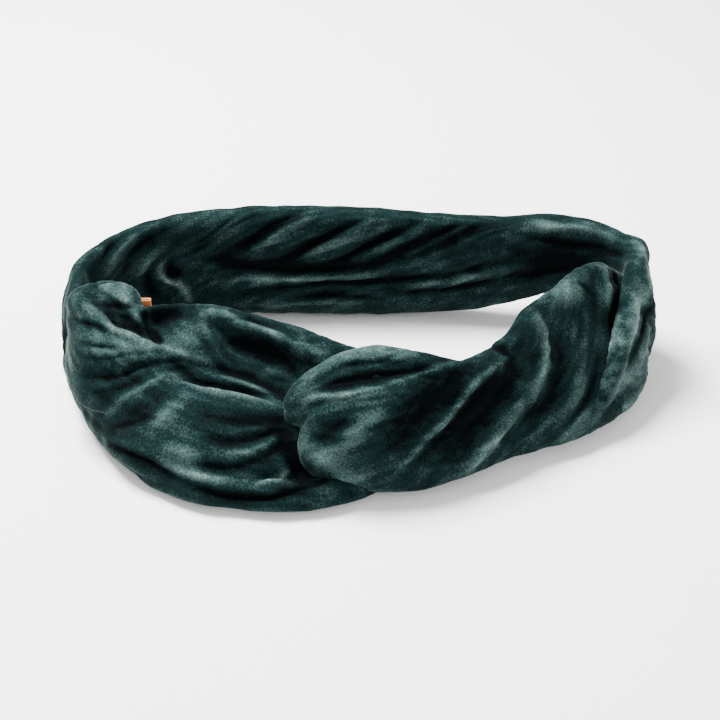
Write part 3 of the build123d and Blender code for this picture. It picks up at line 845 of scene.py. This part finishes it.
TUBE_CREASES = [
    # folds that climb to the right across the upper lobe
    (-1.6, 1.6, -0.5, [(-63, 45, 33), (-54, 46, 38), (-44, 49, 43), (-36, 53, 45)]),
    (-1.8, 1.7, -0.6, [(-53, 48, 28), (-41, 48, 36), (-32, 50, 42), (-20, 53, 45)]),
    (-1.8, 1.7, -0.6, [(-34, 50, 24), (-22, 49, 32), (-12, 49, 37), (2, 51, 43)]),
    (-1.8, 1.7, -0.6, [(-14, 52, 24), (-2, 50, 30), (9, 49, 36), (24, 52, 42)]),
    (-1.6, 1.6, -0.5, [(4, 50, 26), (15, 49, 32), (25, 49, 37), (42, 51, 42)]),
    (-1.2, 1.4, -0.4, [(22, 49, 32), (32, 49, 36), (44, 50, 41)]),
    (-1.2, 1.0, -0.5, [(-46, 49, 30), (-36, 49, 37), (-26, 52, 43)]),
    (-1.2, 1.0, -0.5, [(-27, 50, 27), (-16, 49, 34), (-5, 51, 41)]),
    (-1.2, 1.0, -0.5, [(-8, 50, 27), (4, 49, 33), (16, 50, 40)]),
    (-1.0, 1.0, -0.4, [(12, 50, 28), (22, 49, 33), (34, 50, 40)]),
    (-1.0, 1.0, -0.4, [(-60, 45, 37), (-51, 48, 42), (-45, 52, 45)]),
    (1.0, 2.2, 0.55, [(-59, 45, 36), (-48, 48, 41), (-39, 52, 45)]),
    (1.0, 2.0, 0.5, [(-42, 49, 31), (-28, 50, 39), (-15, 53, 45)]),
    (1.0, 2.0, 0.45, [(-23, 50, 28), (-7, 50, 36), (7, 51, 42)]),
    (0.9, 1.8, 0.35, [(-4, 51, 27), (10, 49, 34), (24, 51, 40)]),
    (0.8, 1.6, 0.3, [(16, 49, 29), (28, 49, 35), (40, 50, 40)]),
    # where the lobes pass each other
    (-1.4, 2.6, -0.9,
     [(-60, 46, 30), (-51, 48, 27), (-41, 50, 25), (-24, 51, 23), (-3, 51, 24), (17, 50, 28)]),
    (-2.2, 2.0, -0.8, [(14, 50, 27), (31, 49, 32), (45, 49, 39), (60, 49, 44)]),
    (1.1, 1.6, 0.5, [(-56, 47, 18), (-45, 50, 20), (-33, 51, 20), (-12, 52, 21), (11, 51, 23)]),
    (1.2, 1.6, 0.6, [(8, 51, 23), (28, 50, 30), (49, 49, 40), (62, 49, 44)]),
    # long folds of the lower lobe
    (-1.8, 1.3, -0.6,
     [(-51, 45, 11), (-42, 47, 14), (-33, 48, 15), (-12, 50, 17),
      (9, 49, 18), (31, 49, 21), (59, 46, 30)]),
    (0.9, 1.6, 0.4, [(-48, 48, 16), (-30, 50, 18), (-11, 51, 19), (8, 51, 20)]),
    (-1.5, 1.3, -0.5, [(8, 48, 13), (27, 48, 14), (39, 47, 16), (64, 45, 25)]),
    (0.9, 1.8, 0.35, [(15, 49, 16), (34, 48, 19), (53, 46, 24), (67, 44, 29)]),
    (-1.2, 1.4, -0.4, [(-28, 48, 11), (-10, 48, 12), (10, 48, 10)]),
    (0.7, 1.6, 0.3, [(-40, 47, 8), (-20, 48, 9), (0, 48, 8)]),
    (-1.4, 1.6, -0.5, [(62, 46, 38), (77, 41, 38), (87, 35, 40), (93, 28, 41)]),
    (-1.2, 1.4, -0.4, [(56, 46, 20), (68, 44, 25), (80, 38, 31)]),
    (1.0, 1.8, 0.5, [(60, 48, 42), (72, 46, 43), (84, 41, 45), (93, 37, 44)]),
    (-0.3, 6.0, -0.5, [(55, 48, 27), (70, 45, 30), (85, 39, 32), (94, 28, 32)]),
    # the hooked gather behind the cap
    (1.6, 1.3, 0.75,
     [(-72, 42, 33), (-75, 41, 29), (-73, 43, 23), (-69, 45, 20), (-66, 43, 17), (-64, 43, 12)]),
    (-2.2, 1.8, -0.8, [(-70, 43, 31), (-71, 44, 26), (-67, 45, 23)]),
    (-1.8, 2.0, -0.6, [(-79, 39, 30), (-79, 40, 22), (-76, 42, 14)]),
    (0.9, 1.4, 0.4, [(-83, 37, 28), (-78, 39, 34), (-71, 42, 37)]),
    (-1.4, 1.5, -0.5, [(-88, 31, 33), (-84, 35, 38), (-77, 41, 41), (-70, 45, 43)]),
    (-1.2, 1.4, -0.4, [(-94, 20, 40), (-90, 30, 43), (-85, 38, 44)]),
    (0.8, 1.4, 0.35, [(-92, 24, 37), (-87, 33, 41), (-80, 40, 44)]),
    # the right end: the flap and the swath outside it
    (0.5, 2.6, 0.5, [(101, 20, 41), (98, 9, 36), (94, 0, 30), (88, -9, 22)]),
    (-1.0, 1.6, -0.7, [(103, 14, 35), (101, 8, 31), (96, 0, 25), (89, -9, 19)]),
    (0.2, 4.0, 0.35, [(99, 16, 39), (95, 5, 32), (90, -5, 24), (85, -14, 16)]),
    (0.4, 6.0, 0.55, [(83, -21, 13), (90, -14, 16), (97, -6, 18), (103, 6, 21)]),
    (-0.5, 1.6, -0.2, [(84, -19, 13), (90, -15, 11), (97, -8, 10), (103, 1, 10)]),
    (0.5, 2.5, 0.4, [(78, -28, 6), (88, -21, 7), (98, -10, 9), (104, 3, 10)]),
    (1.0, 1.6, 0.5, [(98, 34, 44), (100, 26, 44), (98, 18, 42)]),
    # the left end, outside
    (-0.1, 3.0, -0.55, [(-104, 26, 38), (-106, 13, 35), (-104, 2, 29), (-99, -8, 20)]),
    (-1.2, 1.5, -0.4, [(-104, 24, 30), (-105, 10, 24), (-103, 0, 16)]),
    (0.8, 1.8, 0.4, [(-103, 26, 36), (-103, 12, 31), (-101, 2, 24)]),
    # both sides, where the tube's ends wrap the loops
    (-1.3, 1.5, -0.5, [(-104, 34, 34), (-107, 20, 31), (-106, 8, 27), (-101, -3, 20)]),
    (-1.2, 1.4, -0.5, [(-103, 36, 14), (-106, 20, 14), (-106, 8, 13), (-100, -3, 10)]),
    (0.9, 1.8, 0.45, [(-104, 34, 24), (-107, 18, 23), (-105, 6, 19)]),
    (0.8, 1.6, 0.35, [(-106, 22, 8), (-106, 8, 8), (-100, -2, 7)]),
    (-1.1, 1.4, -0.4, [(104, 36, 16), (105, 24, 13), (104, 12, 11)]),
    (0.8, 2.0, 0.4, [(103, 36, 24), (105, 24, 21), (104, 12, 18)]),
    # the outside of the back
    (-1.6, 1.7, -0.5, [(-80, 56, 14), (-50, 62, 20), (-20, 64, 27), (10, 64, 36), (30, 63, 42)]),
    (-1.5, 1.6, -0.5, [(-60, 61, 6), (-25, 63, 12), (10, 63, 20), (45, 61, 30), (70, 56, 38)]),
    (1.0, 2.0, 0.45, [(-70, 59, 11), (-35, 63, 18), (0, 64, 26), (30, 63, 35)]),
    (-1.4, 1.6, -0.4, [(-20, 62, 4), (20, 62, 10), (55, 59, 18), (80, 52, 26), (95, 42, 30)]),
    (1.0, 2.0, 0.4, [(-10, 63, 8), (30, 62, 15), (60, 58, 24), (85, 50, 34)]),
    (-1.3, 1.5, -0.4, [(-96, 42, 18), (-88, 50, 24), (-74, 57, 31), (-58, 61, 38)]),
    (0.9, 1.8, 0.4, [(-98, 38, 24), (-88, 49, 30), (-75, 56, 37)]),
    (-1.2, 1.5, -0.4, [(103, 34, 12), (98, 42, 20), (90, 49, 28)]),
]


# ---- build ----------------------------------------------------------------------------------------
VELVET = velvet_material()
THREAD = thread_material("thread", (0.004, 0.012, 0.011, 1))
LABEL_THREAD = thread_material("label_thread", (0.4, 0.3, 0.18, 1))
ELASTIC = elastic_material()
LABEL = label_material()


def cloth(name, rolls, strokes, seed, climb):
    """One finished velvet piece."""
    obj = fused(name, rolls)
    painted_light = crease(obj, strokes, np.zeros(len(obj.data.vertices)))
    painted_light = wrinkle(obj, painted_light, seed, climb)
    store(obj, painted_light)
    obj.data.materials.append(VELVET)
    return obj


def bend_with_right(obj):
    """The piece's placement is baked into its mesh."""
    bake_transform(obj)


def bend_with_back(obj):
    """The piece's placement is baked into its mesh."""
    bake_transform(obj)


left_cloth = cloth("left_loop_velvet", left_rolls(), LEFT_CREASES, seed=1, climb=-0.1)
right_cloth = cloth("right_loop_velvet", right_rolls(), RIGHT_CREASES, seed=2, climb=0.45)
tube_cloth = cloth("back_tube_velvet", tube_rolls(), TUBE_CREASES, seed=3, climb=-0.35)

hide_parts("left_loop")
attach(left_cloth, "root")
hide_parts("right_loop")
bend_with_right(right_cloth)
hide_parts("back_tube")
bend_with_back(tube_cloth)


def finish_node(name, made):
    """A CAD node keeps its shape and gets its own material."""
    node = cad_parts[name]
    node.data.materials.clear()
    node.data.materials.append(made)


def blended_copy(name, made):
    """A CAD node of the back, copied with its own material. It is narrower from
    below inside the tube's right part, where the tube's lower edge is lifted."""
    copy = bpy.data.objects.new(name + "_bending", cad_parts[name].data.copy())
    bpy.context.collection.objects.link(copy)
    copy.data.materials.clear()
    copy.data.materials.append(made)
    points = read_points(copy)
    share = smooth_step(points[:, 0], *NARROW_FROM_X) * smooth_step(points[:, 1], *NARROW_FROM_Y)
    points[:, 2] += share * ELASTIC_NARROW * (ELASTIC_TOP - points[:, 2])
    write_points(copy, points)
    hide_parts(name)
    bend_with_back(copy)


def stitch_places(name):
    """The middle and the direction of each stitch of a CAD node, in mm."""
    mesh = bmesh.new()
    mesh.from_mesh(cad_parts[name].data)
    bmesh.ops.remove_doubles(mesh, verts=mesh.verts, dist=WELD)
    seen = set()
    places = []
    for start in mesh.verts:
        if start in seen:
            continue
        seen.add(start)
        group = [start]
        for vertex in group:
            for edge in vertex.link_edges:
                other = edge.other_vert(vertex)
                if other not in seen:
                    seen.add(other)
                    group.append(other)
        points = np.array([vertex.co for vertex in group]) / MM
        middle = points.mean(axis=0)
        along = np.linalg.svd(points - middle)[2][0]
        places.append((middle, along))
    mesh.free()
    return places


def sewn(name, skin_object, from_inside=False):
    """The stitches of a CAD node, sewn into the velvet: each dips into the pile at both ends.
    Those from inside are laid on the skin that faces the head."""
    points = read_points(skin_object)
    faces = [tuple(face.vertices) for face in skin_object.data.polygons]
    skin = BVHTree.FromPolygons(points.tolist(), faces)
    rolls = []
    for place, along in stitch_places(name):
        start = Vector(place)
        if from_inside:
            inward = (Vector((0, BAND_MIDDLE_Y, start.z)) - start).normalized()
            hit = skin.ray_cast(start + inward * INWARD_REACH, -inward)[0]
            start = hit if hit is not None else start
        stations = []
        for share, height in STITCH_COURSE:
            near, normal, _, _ = skin.find_nearest(start + Vector(along) * (STITCH / 2 * share))
            stations.append((*(near + normal * height), *normal, THREAD_RADIUS, THREAD_RADIUS))
        rolls.append(roll(stations, step=STITCH_STEP, sides=STITCH_SIDES))
    obj = new_object(name + "_sewn", *roll_mesh(rolls))
    for polygon in obj.data.polygons:
        polygon.use_smooth = True
    obj.data.materials.append(THREAD)
    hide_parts(name)
    return obj


finish_node("label", LABEL)
finish_node("label_stitches", LABEL_THREAD)
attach(sewn("left_loop_stitches", left_cloth, from_inside=True), "root")
bend_with_right(sewn("right_loop_stitches", right_cloth, from_inside=True))
for seam in ("back_tube_stitches", "left_mouth_stitches", "right_mouth_stitches"):
    bend_with_back(sewn(seam, tube_cloth))
blended_copy("elastic_band", ELASTIC)
blended_copy("left_elastic_stitches", THREAD)
blended_copy("right_elastic_stitches", THREAD)


# ---- floor, light and camera ---------------------------------------------------------------------
def area_light(name, place, target, size, power):
    """A soft square light that faces a target."""
    lamp = bpy.data.lights.new(name, "AREA")
    lamp.shape = "SQUARE"
    lamp.size = size
    lamp.energy = power
    obj = bpy.data.objects.new(name, lamp)
    bpy.context.collection.objects.link(obj)
    obj.location = place
    obj.rotation_euler = (Vector(target) - Vector(place)).to_track_quat("-Z", "Y").to_euler()


low, high = (np.array(corner) for corner in cad_box)
floor = new_object(
    "floor",
    [
        (-FLOOR_REACH, -FLOOR_REACH, 0),
        (FLOOR_REACH, -FLOOR_REACH, 0),
        (FLOOR_REACH, FLOOR_REACH, 0),
        (-FLOOR_REACH, FLOOR_REACH, 0),
    ],
    [(0, 1, 2, 3)],
)
floor.location.z = low[2] - FLOOR_DROP
floor.data.materials.append(floor_material())

world = bpy.data.worlds.new("studio")
world.use_nodes = True
background = world.node_tree.nodes["Background"]
background.inputs["Color"].default_value = (1, 1, 1, 1)
background.inputs["Strength"].default_value = 1.05
bpy.context.scene.world = world
aim = (low + high) / 2 + np.array(AIM_SHIFT)
area_light("key", (-0.3, 0.25, 0.75), aim, size=0.35, power=38)
area_light("front_fill", (0.15, -0.8, 0.5), aim, size=0.5, power=4)

lens = bpy.data.cameras.new("camera")
lens.lens = CAMERA_LENS
camera = bpy.data.objects.new("camera", lens)
bpy.context.collection.objects.link(camera)
camera.location = (
    aim[0],
    aim[1] - CAMERA_DISTANCE * np.cos(CAMERA_ELEVATION),
    aim[2] + CAMERA_DISTANCE * np.sin(CAMERA_ELEVATION),
)
camera.rotation_euler = (Vector(aim) - camera.location).to_track_quat("-Z", "Y").to_euler()
bpy.context.scene.camera = camera
